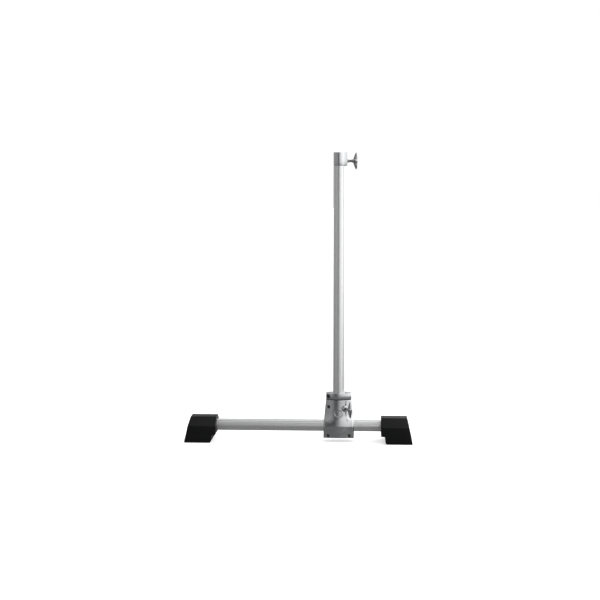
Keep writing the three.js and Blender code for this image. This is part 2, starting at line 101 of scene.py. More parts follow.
def ring_loft(rings, closed=False):
    """Skins rings of equal point counts; the last joins the first if closed, else both are capped."""
    bm = bmesh.new()
    loops = [[bm.verts.new(p) for p in ring] for ring in rings]
    count = len(loops[0])
    pairs = list(zip(loops, loops[1:]))
    if closed:
        pairs.append((loops[-1], loops[0]))
    for low, high in pairs:
        for i in range(count):
            j = (i + 1) % count
            bm.faces.new((low[i], low[j], high[j], high[i]))
    if not closed:
        bm.faces.new(list(reversed(loops[0])))
        bm.faces.new(loops[-1])
    bmesh.ops.recalc_face_normals(bm, faces=bm.faces)
    return bm


def revolve(profile, sides=64, closed=False):
    """Turns (radius, along) points round local Z. Open profiles start and end on the axis."""
    bm = bmesh.new()
    loops = []
    for radius, along in profile:
        if radius < 1e-6:
            loops.append([bm.verts.new((0, 0, along))])
        else:
            turn = [2 * math.pi * i / sides for i in range(sides)]
            loops.append([bm.verts.new((radius * math.cos(a), radius * math.sin(a), along)) for a in turn])
    pairs = list(zip(loops, loops[1:]))
    if closed:
        pairs.append((loops[-1], loops[0]))
    for low, high in pairs:
        for i in range(sides):
            j = (i + 1) % sides
            corners = [low[i % len(low)], low[j % len(low)], high[j % len(high)], high[i % len(high)]]
            corners = [v for k, v in enumerate(corners) if v not in corners[:k]]
            bm.faces.new(corners)
    bmesh.ops.recalc_face_normals(bm, faces=bm.faces)
    return bm


def chamfered_rod(radius, start, end, chamfer=0.4, sides=48):
    """A rod along local Z with a small chamfer at each end."""
    return revolve([(0, start), (radius - chamfer, start), (radius, start + chamfer),
                    (radius, end - chamfer), (radius - chamfer, end), (0, end)], sides)


def chamfered_sleeve(outer, inner, start, end, chamfer=0.4, sides=64):
    """A tube along local Z with chamfered rims."""
    return revolve([(inner + chamfer, start), (outer - chamfer, start), (outer, start + chamfer),
                    (outer, end - chamfer), (outer - chamfer, end), (inner + chamfer, end),
                    (inner, end - chamfer), (inner, start + chamfer)], sides, closed=True)


def flared_cutter(radius, start, face, flare=0.8, sides=48):
    """A cutter along local Z from its floor at start, whose mouth rounds open at face."""
    profile = [(0, start), (radius, start)]
    steps, beyond, widening = 5, 12.0, 2.4       # past the face it runs on and opens a little more
    for i in range(steps + 1):
        a = (math.pi / 2) * i / steps
        profile.append((radius + flare * (1 - math.cos(a)), face - flare + flare * math.sin(a)))
    profile += [(radius + flare + widening, face + beyond), (0, face + beyond)]
    return revolve(profile, sides)


def prism(outline, low, high, rim=0.0, steps=4):
    """An outline function (inset -> list of (x, y)) drawn out along local Z, its rims rounded."""
    levels = []
    if rim > 0:
        for i in range(steps + 1):
            a = (math.pi / 2) * i / steps
            levels.append((rim * (1 - math.sin(a)), low + rim * (1 - math.cos(a))))
        for i in range(steps + 1):
            a = (math.pi / 2) * (1 - i / steps)
            levels.append((rim * (1 - math.sin(a)), high - rim * (1 - math.cos(a))))
    else:
        levels = [(0, low), (0, high)]
    return ring_loft([[(x, y, z) for x, y in outline(inset)] for inset, z in levels])


def polygon(sides, radius, turn=0.0):
    """A regular polygon's corners, anticlockwise."""
    angles = [turn + 2 * math.pi * i / sides for i in range(sides)]
    return [(radius * math.cos(a), radius * math.sin(a)) for a in angles]


def offset_outline(points, inset):
    """Moves a closed outline, drawn anticlockwise, in along its normals."""
    shifted = []
    count = len(points)
    for i, (x, y) in enumerate(points):
        ax, ay = points[i - 1]
        bx, by = points[(i + 1) % count]
        tx, ty = bx - ax, by - ay
        length = math.hypot(tx, ty) or 1.0
        shifted.append((x - inset * ty / length, y + inset * tx / length))
    return shifted


def box_mesh(low, high):
    """A box between two corners, used as a cutter."""
    bm = bmesh.new()
    bmesh.ops.create_cube(bm, size=1)
    size = Vector(high) - Vector(low)
    bm.transform(Matrix.Translation((Vector(high) + Vector(low)) / 2) @ Matrix.Diagonal((*size, 1)))
    return bm


def moved(bm, matrix):
    """The same mesh, moved in place by a matrix."""
    bm.transform(matrix)
    return bm


def raw_object(name, bm):
    """An object of the mesh, linked to the scene, with the bmesh freed."""
    mesh = bpy.data.meshes.new(name)
    bm.to_mesh(mesh)
    bm.free()
    obj = bpy.data.objects.new(name, mesh)
    bpy.context.scene.collection.objects.link(obj)
    return obj


def boolean(base, tools, operation="DIFFERENCE"):
    """Cuts or joins closed meshes one after another, exactly, and returns the result as a bmesh."""
    target = raw_object("cut_base", base)
    helpers = []
    for i, tool in enumerate(tools):
        helper = raw_object(f"cut_tool_{i}", tool)
        helpers.append(helper)
        modifier = target.modifiers.new(f"cut_{i}", "BOOLEAN")
        modifier.object = helper
        modifier.operation = operation
        modifier.solver = "EXACT"
    bpy.context.view_layer.update()
    done = bpy.data.meshes.new_from_object(target.evaluated_get(bpy.context.evaluated_depsgraph_get()))
    out = bmesh.new()
    out.from_mesh(done)
    for obj in (target, *helpers):
        mesh = obj.data
        bpy.data.objects.remove(obj)
        bpy.data.meshes.remove(mesh)
    bpy.data.meshes.remove(done)
    bmesh.ops.remove_doubles(out, verts=out.verts, dist=1e-4)
    bmesh.ops.dissolve_degenerate(out, edges=out.edges, dist=1e-5)
    return out


def joined(*meshes):
    """The union of closed meshes."""
    return boolean(meshes[0], meshes[1:], "UNION")


def finish_piece(name, bm, body, material, nodes, angle=32.0):
    """Makes the object in metres, smooths it, and ties it to the frame."""
    bmesh.ops.scale(bm, vec=(MM, MM, MM), verts=bm.verts)
    bmesh.ops.recalc_face_normals(bm, faces=bm.faces)
    for face in bm.faces:
        face.smooth = True
    obj = raw_object(name, bm)
    obj.data.set_sharp_from_angle(angle=math.radians(angle))
    obj.data.materials.append(material)
    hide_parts(*nodes)
    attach(obj, body)
    return obj


# ---------------- materials

class Shader:
    """A Principled material and the few node links that the finishes share."""

    def __init__(self, name, color, metallic, roughness, specular=0.5):
        self.material = bpy.data.materials.new(name)
        self.material.use_nodes = True
        self.nodes = self.material.node_tree.nodes
        self.links = self.material.node_tree.links
        self.main = self.nodes["Principled BSDF"]
        self.main.inputs["Base Color"].default_value = (*color, 1)
        self.main.inputs["Metallic"].default_value = metallic
        self.main.inputs["Roughness"].default_value = roughness
        self.main.inputs["Specular IOR Level"].default_value = specular
        self.place = self.nodes.new("ShaderNodeTexCoord").outputs["Object"]
        self.height = None

    def stretched(self, scale):
        mapping = self.nodes.new("ShaderNodeMapping")
        mapping.inputs["Scale"].default_value = scale
        self.links.new(self.place, mapping.inputs["Vector"])
        return mapping.outputs["Vector"]

    def noise(self, scale, stretch=(1, 1, 1), detail=3.0, roughness=0.5):
        node = self.nodes.new("ShaderNodeTexNoise")
        node.inputs["Scale"].default_value = scale
        node.inputs["Detail"].default_value = detail
        node.inputs["Roughness"].default_value = roughness
        self.links.new(self.stretched(stretch), node.inputs["Vector"])
        return node.outputs["Fac"]

    def ramp(self, value, low, high, start=0.3, end=0.7):
        """Maps a texture value from start..end to low..high."""
        node = self.nodes.new("ShaderNodeMapRange")
        node.inputs["From Min"].default_value = start
        node.inputs["From Max"].default_value = end
        node.inputs["To Min"].default_value = low
        node.inputs["To Max"].default_value = high
        self.links.new(value, node.inputs["Value"])
        return node.outputs["Result"]

    def mixed(self, factor, a, b):
        """A colour between two colours or colour sockets by a texture value."""
        node = self.nodes.new("ShaderNodeMix")
        node.data_type = "RGBA"
        self.links.new(factor, node.inputs["Factor"])
        for socket, color in (("A", a), ("B", b)):
            if isinstance(color, bpy.types.NodeSocket):
                self.links.new(color, node.inputs[socket])
            else:
                node.inputs[socket].default_value = (*color, 1)
        return node.outputs["Result"]

    def tint(self, value, dark, light, worn=None, radius=0.0009):
        """Base colour between two colours by a texture value, and a third along worn edges."""
        color = self.mixed(value, dark, light)
        if worn:
            color = self.mixed(self.edges(radius), color, worn)
        self.links.new(color, self.main.inputs["Base Color"])

    def edges(self, radius):
        """A broken value near 1 along exposed edges and 0 on open faces."""
        rounded = self.nodes.new("ShaderNodeBevel")
        rounded.samples = 4
        rounded.inputs["Radius"].default_value = radius
        turned = self.nodes.new("ShaderNodeVectorMath")
        turned.operation = "DOT_PRODUCT"
        self.links.new(rounded.outputs["Normal"], turned.inputs[0])
        self.links.new(self.nodes.new("ShaderNodeNewGeometry").outputs["Normal"], turned.inputs[1])
        broken = self.nodes.new("ShaderNodeMath")
        broken.operation = "MULTIPLY"
        self.links.new(self.ramp(turned.outputs["Value"], 1, 0, 0.9, 0.99), broken.inputs[0])
        self.links.new(self.ramp(self.noise(260.0, detail=4.0), 0.2, 1.0), broken.inputs[1])
        return broken.outputs[0]

    def rough(self, value):
        self.links.new(value, self.main.inputs["Roughness"])

    def bump(self, value, distance, strength=1.0):
        node = self.nodes.new("ShaderNodeBump")
        node.inputs["Strength"].default_value = strength
        node.inputs["Distance"].default_value = distance
        self.links.new(value, node.inputs["Height"])
        if self.height is not None:
            self.links.new(self.height, node.inputs["Normal"])
        self.height = node.outputs["Normal"]
        self.links.new(self.height, self.main.inputs["Normal"])


def anodised(name, stretch):
    """Clear anodised tube: very fine drawing lines along it and faint cloudiness."""
    s = Shader(name, (0.86, 0.865, 0.87), 0.93, 0.28)
    lines = s.noise(1.0, stretch, detail=4.0, roughness=0.7)
    clouds = s.noise(9.0, detail=2.0)
    s.rough(s.ramp(lines, 0.24, 0.33))
    s.tint(clouds, (0.8, 0.805, 0.81), (0.86, 0.863, 0.866), (0.9, 0.9, 0.9))
    s.bump(lines, 0.000012)
    s.main.inputs["Anisotropic"].default_value = 0.25
    return s.material


def polished_cast(name="cast_metal"):
    """Satin polished casting: soft waviness, fine polishing haze and tiny pits."""
    s = Shader(name, (0.66, 0.675, 0.685), 1.0, 0.2)
    haze = s.noise(60.0, detail=4.0, roughness=0.6)
    waves = s.noise(38.0, detail=1.0)
    grain = s.noise(2600.0, detail=2.0)
    s.rough(s.ramp(haze, 0.15, 0.25))
    s.tint(haze, (0.62, 0.637, 0.648), (0.7, 0.713, 0.722), (0.8, 0.81, 0.815))
    s.bump(waves, 0.00006)
    s.bump(grain, 0.000004)
    return s.material


def bright_knob(name="knob_metal"):
    """Bright nickel over a cast knob."""
    s = Shader(name, (0.5, 0.505, 0.51), 1.0, 0.15)
    haze = s.noise(90.0, detail=3.0)
    waves = s.noise(140.0, detail=1.0)
    s.rough(s.ramp(haze, 0.11, 0.2))
    s.tint(haze, (0.46, 0.465, 0.47), (0.56, 0.563, 0.567), (0.68, 0.68, 0.68), 0.0005)
    s.bump(waves, 0.00005)
    return s.material


def zinc_steel(name="steel"):
    """Zinc plated steel: slightly mottled."""
    s = Shader(name, (0.58, 0.58, 0.575), 1.0, 0.3)
    mottle = s.noise(700.0, detail=3.0)
    s.rough(s.ramp(mottle, 0.24, 0.4))
    s.tint(mottle, (0.5, 0.5, 0.49), (0.64, 0.64, 0.635))
    s.bump(mottle, 0.00001)
    return s.material


def black_oxide(name="black_steel"):
    """Oiled black oxide: nearly black, a little brighter where tools have rubbed its edges."""
    s = Shader(name, (0.05, 0.05, 0.052), 0.9, 0.3)
    mottle = s.noise(900.0, detail=3.0)
    s.rough(s.ramp(mottle, 0.24, 0.38))
    s.tint(mottle, (0.035, 0.035, 0.037), (0.06, 0.06, 0.062), (0.3, 0.3, 0.3), 0.0004)
    s.bump(mottle, 0.000008)
    s.main.inputs["Coat Weight"].default_value = 0.5
    s.main.inputs["Coat Roughness"].default_value = 0.2
    return s.material


def moulded_black(name, color, roughness, grain, depth, specular=0.5):
    """Black moulding with a fine even grain and slow changes of gloss."""
    s = Shader(name, color, 0.0, roughness, specular)
    fine = s.nodes.new("ShaderNodeTexVoronoi")
    fine.inputs["Scale"].default_value = grain
    s.links.new(s.place, fine.inputs["Vector"])
    soft = s.noise(grain * 0.45, detail=3.0)
    slow = s.noise(22.0, detail=2.0)
    s.rough(s.ramp(slow, roughness - 0.05, roughness + 0.06))
    s.tint(slow, color, [c * 1.6 for c in color], [c * 2.6 for c in color])
    s.bump(fine.outputs["Distance"], depth)
    s.bump(soft, depth)
    return s.material


ANODISED_X = anodised("anodised_tube_x", (3, 900, 900))
ANODISED_Z = anodised("anodised_tube_z", (900, 900, 3))
CAST = polished_cast()
KNOB = bright_knob()
STEEL = zinc_steel()
BLACK_STEEL = black_oxide()
BLACK = moulded_black("black_plastic", (0.003, 0.0031, 0.0033), 0.42, 1500.0, 0.00003, 0.13)
RUBBER = moulded_black("rubber", (0.008, 0.008, 0.008), 0.7, 900.0, 0.00005, 0.3)
NYLON = moulded_black("nylon", (0.013, 0.013, 0.014), 0.5, 2200.0, 0.00001)


# ---------------- tubes

GROOVE_HALF = math.asin(2.3 / TUBE_RADIUS)       # half the groove's width, as an angle
GROOVE_DEPTH = 1.8


def groove_fall(angle):
    """How deep the tube's wall lies under its round at an angle: four grooves on the diagonals."""
    nearest = (angle % (math.pi / 2)) - math.pi / 4
    t = min(1.0, abs(nearest) / GROOVE_HALF)
    return GROOVE_DEPTH * (1 - t ** 2)


def tube(length, sides=288):
    """The grooved tube along local Z, with lightly chamfered cut ends."""
    turns = [2 * math.pi * i / sides for i in range(sides)]
    bore = TUBE_RADIUS - TUBE_WALL
    chamfer = 0.5

    def outer(inset, z):
        return [((TUBE_RADIUS - groove_fall(a) - inset) * math.cos(a),
                 (TUBE_RADIUS - groove_fall(a) - inset) * math.sin(a), z) for a in turns]

    def inner(inset, z):
        return [((bore + inset) * math.cos(a), (bore + inset) * math.sin(a), z) for a in turns]

    return ring_loft([outer(chamfer, 0), outer(0, chamfer),
                      outer(0, length - chamfer), outer(chamfer, length),
                      inner(chamfer, length), inner(0, length - chamfer),
                      inner(0, chamfer), inner(chamfer, 0)], closed=True)


def make_base_tube():
    length = BASE_HIGH.x - BASE_LOW.x
    # A quarter turn lays the tube along +X and leaves its grooves on the diagonals.
    place = Matrix.Translation((BASE_LOW.x, 0, BASE_AXIS_Z)) @ Matrix.Rotation(math.pi / 2, 4, "Y")
    bm = moved(tube(length), place)
    holes = []
    for node in ("left_foot_screw", "right_foot_screw"):
        x = middle_mm(node).x
        below = Matrix.Translation((x, 0, BASE_AXIS_Z - 22))
        holes.append(moved(chamfered_rod(FOOT_SCREW_HOLE, 0, 22, 0.1, 24), below))
    bm = boolean(bm, holes)
    finish_piece("base_tube_drawn", bm, "base", ANODISED_X, ["base_tube"])


def make_mast_tube():
    bm = moved(tube(MAST_HIGH.z - MAST_LOW.z), Matrix.Translation((MAST_X, 0, MAST_LOW.z)))
    pin = middle_mm("collar_pin")
    hole = moved(chamfered_rod(PIN_HOLE, 0, 25, 0.1, 24), axis_frame((MAST_X, 0, pin.z), (0, 1, 0)))
    bm = boolean(bm, [hole])
    finish_piece("mast_tube_drawn", bm, "mast", ANODISED_Z, ["mast_tube"])


# ---------------- feet

FOOT_LOW, FOOT_HIGH = box_mm("right_foot_shell")
FOOT_LENGTH = FOOT_HIGH.x - FOOT_LOW.x
FOOT_HEIGHT = FOOT_HIGH.z
FOOT_HALF_DEPTH = FOOT_HIGH.y
FOOT_TOP_LENGTH = 89.0
FOOT_TOP_HALF = 24.0
SHOULDER_Z = 58.0
STEP_LENGTH, STEP_Z = 13.0, 27.0
SOLE_TOP = box_mm("right_foot_sole")[1].z
SOCKET_RADIUS = 25.0
FOOT_WALL = 4.0


def arc_corner(a, b, c, radius, steps):
    """Points of a rounded corner at b between a and c."""
    a, b, c = Vector(a), Vector(b), Vector(c)
    u, v = (a - b).normalized(), (c - b).normalized()
    half = u.angle(v) / 2
    reach = radius / math.tan(half)
    centre = b + (u + v).normalized() * (radius / math.sin(half))
    start = b + u * reach - centre
    end = b + v * reach - centre
    sweep = -start.angle_signed(end)
    points = []
    for i in range(steps + 1):
        turn = sweep * i / steps
        points.append((centre.x + start.x * math.cos(turn) - start.y * math.sin(turn),
                       centre.y + start.x * math.sin(turn) + start.y * math.cos(turn)))
    return points


def rounded_polygon(corners):
    """A closed outline from (x, y, radius) corners."""
    points = []
    count = len(corners)
    for i, (x, y, radius) in enumerate(corners):
        before, after = corners[i - 1][:2], corners[(i + 1) % count][:2]
        points += arc_corner(before, (x, y), after, radius, 8) if radius else [(x, y)]
    return points


def foot_side(inset):
    """The foot from the front: x from its inner end, z, and the radius of each corner."""
    t, slant = inset, 1.04 * inset               # the outer end slopes, so its inset is a little longer
    return rounded_polygon([
        (t, STEP_Z + t, 4), (STEP_LENGTH + t, STEP_Z + t, 2.5), (STEP_LENGTH + 3.5 + t, 0, 9),
        (FOOT_LENGTH - slant, 0, 4), (FOOT_TOP_LENGTH - slant, FOOT_HEIGHT - t, 3.5),
        (t, FOOT_HEIGHT - t, 1.5)])


def foot_end(inset):
    """The foot from its end: y and z."""
    side = FOOT_HALF_DEPTH - inset
    top = FOOT_HEIGHT - inset
    right = [(side - 1.2, 0, 7), (side, SHOULDER_Z - inset, 5), (FOOT_TOP_HALF, top, 5)]
    left = [(-y, z, r) for y, z, r in reversed(right)]
    return rounded_polygon(right + left)


def foot_form(inset):
    """The solid of the foot: its side view and its end view, crossed."""
    turn_y = Matrix(((1, 0, 0, 0), (0, 0, 1, 0), (0, 1, 0, 0), (0, 0, 0, 1)))
    turn_x = Matrix(((0, 0, 1, 0), (1, 0, 0, 0), (0, 1, 0, 0), (0, 0, 0, 1)))
    half = FOOT_HALF_DEPTH + 6
    side = moved(prism(lambda _: foot_side(inset), -half, half), turn_y)
    end = moved(prism(lambda _: foot_end(inset), -6, FOOT_LENGTH + 6), turn_x)
    for bm in (side, end):
        bmesh.ops.recalc_face_normals(bm, faces=bm.faces)
    return boolean(side, [end], "INTERSECT")


def bevelled(bm, width, angle=24.0, segments=4):
    """Rounds every edge sharper than an angle, as part of the mesh."""
    edges = [e for e in bm.edges if len(e.link_faces) == 2 and e.calc_face_angle(0) > math.radians(angle)]
    bmesh.ops.bevel(bm, geom=edges, offset=width, segments=segments, profile=0.5, affect="EDGES",
                    clamp_overlap=True)
    return bm


def slab(low, high):
    reach = 2 * FOOT_LENGTH
    return box_mesh((-reach, -reach, low), (reach, reach, high))


def foot_shell():
    outer = bevelled(foot_form(0), 2.2)
    tube_end = BASE_HIGH.x - FOOT_LOW.x
    along_x = axis_frame((0, 0, BASE_AXIS_Z), (1, 0, 0))
    screw_x = middle_mm("right_foot_screw").x - FOOT_LOW.x
    hollow = boolean(foot_form(FOOT_WALL), [
        moved(chamfered_rod(SOCKET_RADIUS, -5, tube_end + 4, 0.1, 72), along_x),
        *[box_mesh((x, -90, 14), (x + 3, 90, 120)) for x in (24, 50)]])
    return boolean(outer, [
        hollow, slab(-9, SOLE_TOP + FIT),
        moved(flared_cutter(TUBE_RADIUS + FIT, -(tube_end + FIT), 0, 0.9, sides=96),
              axis_frame((0, 0, BASE_AXIS_Z), (-1, 0, 0))),
        moved(chamfered_rod(FOOT_SCREW_HOLE, 0, BASE_AXIS_Z, 0.1, 24), Matrix.Translation((screw_x, 0, 0)))])


def foot_sole():
    """The sole: a slab of the same form with a shallow tread cut across it."""
    grooves = [box_mesh((x - 0.9, -90, -2), (x + 0.9, 90, 1.1)) for x in range(34, 100, 9)]
    return boolean(foot_form(0), [slab(SOLE_TOP, 200), *grooves])


def pan_screw(low, high, head_top):
    """A slotted pan-head screw pointing up, its head below."""
    bm = revolve([(0, low), (3.2, low + 0.1), (4.3, low + 0.8), (4.6, low + 1.8), (4.6, head_top),
                  (2, head_top), (2, high - 2.5), (0.3, high), (0, high)], 36)
    return boolean(bm, [box_mesh((-5, -0.6, low - 1), (5, 0.6, low + 1.2))])


def make_feet():
    for side, turn in (("right", 0.0), ("left", math.pi)):
        sign = 1 if side == "right" else -1
        place = Matrix.Translation((sign * FOOT_LOW.x, 0, 0)) @ Matrix.Rotation(turn, 4, "Z")
        finish_piece(f"{side}_foot_moulding", moved(foot_shell(), place), "base", BLACK,
                     [f"{side}_foot_shell"], angle=26)
        finish_piece(f"{side}_foot_tread", moved(foot_sole(), place), "base", RUBBER,
                     [f"{side}_foot_sole"], angle=26)
        low, high = box_mm(f"{side}_foot_screw")
        centre = Matrix.Translation(((low.x + high.x) / 2, 0, 0))
        finish_piece(f"{side}_foot_pan_screw", moved(pan_screw(low.z, high.z, low.z + 3), centre), "base",
                     STEEL, [f"{side}_foot_screw"])


# ---------------- clamp housing

HOUSING_LOW, HOUSING_HIGH = box_mm("rear_housing_shell")
HALF_WIDTH = (HOUSING_HIGH.x - HOUSING_LOW.x) / 2
KNEE_Z, DRAFT, TAPER = 70.0, 0.012, 0.085
EDGE_DEPTH, BULGE_DEPTH, BULGE_REACH = 9.0, 28.5, 52.0
BOSS_RADIUS, SHOULDER = 30.0, math.radians(50)
EDGE_BLEND, BLEND, EDGE_RADIUS, RIM_RADIUS = 2.6, 6.0, 5.0, 2.0
LEAN, BOSS_LEAN = 0.03, 0.05
ROUNDEL_Z, ROUNDEL_RADIUS = 99.0, 13.6
PARTING = FIT / 2


def smooth_max(a, b, k):
    return max(a, b) + k * math.log1p(math.exp(-abs(a - b) / k))


def rolled(distance, radius):
    """How far a rounded edge has fallen away at a distance from the edge."""
    if distance >= radius:
        return 0.0
    return radius - math.sqrt(max(0.0, radius ** 2 - (radius - max(distance, 0.0)) ** 2))


def housing_half_width(z):
    return HALF_WIDTH - DRAFT * (z - HOUSING_LOW.z) - TAPER * max(0.0, z - KNEE_Z)


def bulge_depth(x):
    """The upper part of the outer face: one wide oval sweep from edge to edge."""
    sweep = BULGE_DEPTH * math.sqrt(max(0.0, 1 - (x / BULGE_REACH) ** 2))
    return smooth_max(EDGE_DEPTH, sweep, EDGE_BLEND)


def boss_depth(z):
    """The lower part: a half round over the base tube that runs on up as a slope."""
    above, below = max(0.0, z - BASE_AXIS_Z), max(0.0, BASE_AXIS_Z - z)
    rest = above - BOSS_RADIUS * math.sin(SHOULDER)
    if rest > 0:
        return BOSS_RADIUS * math.cos(SHOULDER) - rest * math.tan(SHOULDER)
    return math.sqrt(BOSS_RADIUS ** 2 - above ** 2) - BOSS_LEAN * below


def roundel_relief(x, z):
    """The plain cast roundel: a raised rim round a very slightly sunk disc."""
    r = math.hypot(x, z - ROUNDEL_Z)
    rim = 0.55 * math.exp(-((r - ROUNDEL_RADIUS) / 0.75) ** 2)
    dish = -0.3 / (1 + math.exp((r - ROUNDEL_RADIUS) / 0.35))
    return rim + dish


def housing_depth(x, z, relief):
    upper = bulge_depth(x) - LEAN * max(0.0, z - KNEE_Z)
    face = smooth_max(upper, boss_depth(z), BLEND)
    rim = min(z - HOUSING_LOW.z, HOUSING_HIGH.z - z)
    depth = face - rolled(housing_half_width(z) - abs(x), EDGE_RADIUS) - rolled(rim, RIM_RADIUS)
    return depth + (roundel_relief(x, z) if relief else 0.0)


def spread(count, ease=0.5):
    """Steps from -1 to 1 that lie closer together near the ends."""
    steps = [2 * i / count - 1 for i in range(count + 1)]
    return [(1 - ease) * t + ease * math.sin(math.pi / 2 * t) for t in steps]


def shell_form(face, relief):
    """One half of the housing as a closed solid: its curved face, its rim and the parting plane."""
    columns, rows = spread(150), spread(132)
    bm = bmesh.new()
    grid = []
    for row in rows:
        z = (HOUSING_LOW.z + HOUSING_HIGH.z) / 2 + row * (HOUSING_HIGH.z - HOUSING_LOW.z) / 2
        width = housing_half_width(z)
        across = [c * width for c in columns]
        grid.append([bm.verts.new((x, face * housing_depth(x, z, relief), z)) for x in across])
    for low, high in zip(grid, grid[1:]):
        for i in range(len(columns) - 1):
            bm.faces.new((low[i], low[i + 1], high[i + 1], high[i]))
    rim = [*grid[0], *[r[-1] for r in grid[1:-1]], *reversed(grid[-1]), *[r[0] for r in reversed(grid[1:-1])]]
    back = [bm.verts.new((v.co.x, face * PARTING, v.co.z)) for v in rim]
    count = len(rim)
    for i in range(count):
        j = (i + 1) % count
        bm.faces.new((rim[i], rim[j], back[j], back[i]))
    bm.faces.new(back)
    bmesh.ops.recalc_face_normals(bm, faces=bm.faces)
    return bm


SCREW_SINK = 3.5
SLOPE_RISE = 4.0                                 # how far the sloping face climbs across a screw's mouth
M6_HEAD, M6_HEAD_HEIGHT, M6_NUT = 5.0, 6.0, 5.7
M8_HEAD, M8_HEAD_HEIGHT, M8_NUT = 6.5, 8.0, 7.4


def local(node):
    """A node's middle, measured from the mast axis."""
    return middle_mm(node) - MAST_AXIS


HOUSING_SCREWS = []
for screw in ("lower_left", "lower_right", "upper_left"):
    centre = local(f"housing_screw_{screw}")
    HOUSING_SCREWS.append((screw, housing_depth(centre.x, centre.z, False)))


PAST_REAR = 70.0                                 # beyond the rear of the housing


def hex_cutter(x, z, start, radius):
    """A hexagonal pocket along +Y from its floor at start, open at the rear."""
    outline = polygon(6, radius, HEX_TURN)
    return moved(prism(lambda _: outline, start, PAST_REAR), axis_frame((x, 0, z), (0, 1, 0)))


def shared_cavities():
    """Bores for both tubes, lightening pockets and dowel holes, all seen from the parting plane."""
    liner = TUBE_RADIUS + FIT + LINER_WALL + FIT
    tools = [
        flared_cutter(liner, BASE_AXIS_Z, HOUSING_HIGH.z, 0.6, sides=96),
        moved(chamfered_rod(TUBE_RADIUS + FIT, -70, 70, 0.1, 96), axis_frame((0, 0, BASE_AXIS_Z), (1, 0, 0))),
        box_mesh((27, -12, 84), (42, 12, 109)),
        box_mesh((-37, -12, 84), (-27, 12, 109)),
        box_mesh((-26, -26, HOUSING_LOW.z + 4), (26, 26, 29)),
    ]
    for node in ("dowel_pin_1", "dowel_pin_2"):
        c = local(node)
        tools.append(moved(chamfered_rod(DOWEL_HOLE, -10, 10, 0.1, 24), axis_frame((c.x, 0, c.z), (0, 1, 0))))
    for side in (-1, 1):                         # the mouths of the base tube's bore, rounded
        x = side * housing_half_width(BASE_AXIS_Z)
        tools.append(moved(flared_cutter(TUBE_RADIUS + FIT, -6, 0, 0.8, sides=96),
                           axis_frame((x, 0, BASE_AXIS_Z), (side, 0, 0))))
    return tools


WING_DIRECTION = Vector(next(j for j in frame["joints"] if j["name"] == "lower_wing_turn")["axis"])
LOWER_Z = middle_mm("lower_insert").z
BOSS_END = 38.0
INSERT_RADIUS = 6.5


def wing_frame(z):
    """A frame on the lower wing screw's axis, from the mast's axis outwards."""
    return axis_frame((0, 0, z), WING_DIRECTION)


def front_shell():
    boss = moved(revolve([(0, 22), (10.8, 22), (10.4, 34), (9.5, BOSS_END - 0.8), (9.25, BOSS_END - 0.25),
                          (8.7, BOSS_END), (0, BOSS_END)], 72), wing_frame(LOWER_Z))
    bm = joined(shell_form(-1, True), boss)
    tools = shared_cavities()
    tools.append(moved(chamfered_rod(INSERT_RADIUS + FIT, 10, 60, 0.1, 48), wing_frame(LOWER_Z)))
    for place, face in HOUSING_SCREWS:
        c = local(f"housing_screw_{place}")
        forward = axis_frame((c.x, 0, c.z), (0, -1, 0))
        seat = face - SCREW_SINK - M6_HEAD_HEIGHT
        mouth = face + (SLOPE_RISE if place.startswith("upper") else 0)
        tools.append(moved(flared_cutter(M6_HEAD + 1.2, seat, mouth, 0.7), forward))
        tools.append(moved(chamfered_rod(M6_HOLE, -5, 50, 0.1, 32), forward))
    return boolean(bm, tools)


def rear_shell():
    tools = shared_cavities()
    for place, face in HOUSING_SCREWS:
        c = local(f"housing_screw_{place}")
        tools.append(hex_cutter(c.x, c.z, face - SCREW_SINK - M6_HEAD_HEIGHT, M6_NUT + 0.6))
        tools.append(moved(chamfered_rod(M6_HOLE, -5, 50, 0.1, 32), axis_frame((c.x, 0, c.z), (0, 1, 0))))
    return boolean(shell_form(1, False), tools)


def make_housing():
    to_mast = Matrix.Translation(MAST_AXIS)
    finish_piece("front_shell_casting", moved(front_shell(), to_mast), "base", CAST,
                 ["front_housing_shell"], angle=38)
    finish_piece("rear_shell_casting", moved(rear_shell(), to_mast), "base", CAST,
                 ["rear_housing_shell"], angle=38)


# ---------------- screws and nuts

def thread_rod(root, crest, pitch, start, end, sides=24):
    """A rod along local Z with a helical thread and pointed runs at both ends."""
    per_turn = 8
    steps = max(4, int((end - start) / pitch * per_turn))
    rings = []
    for k in range(steps + 1):
        z = start + (end - start) * k / steps
        ends = min(1.0, (z - start) / pitch, (end - z) / pitch)
        ring = []
        for i in range(sides):
            phase = (z / pitch - i / sides) % 1.0
            wave = 1 - abs(2 * phase - 1)
            lift = min(1.0, max(0.0, wave * 1.25 - 0.1))
            r = root - 0.5 * (1 - ends) + (crest - root) * lift * ends
            a = 2 * math.pi * i / sides
            ring.append((r * math.cos(a), r * math.sin(a), z))
        rings.append(ring)
    return ring_loft(rings)


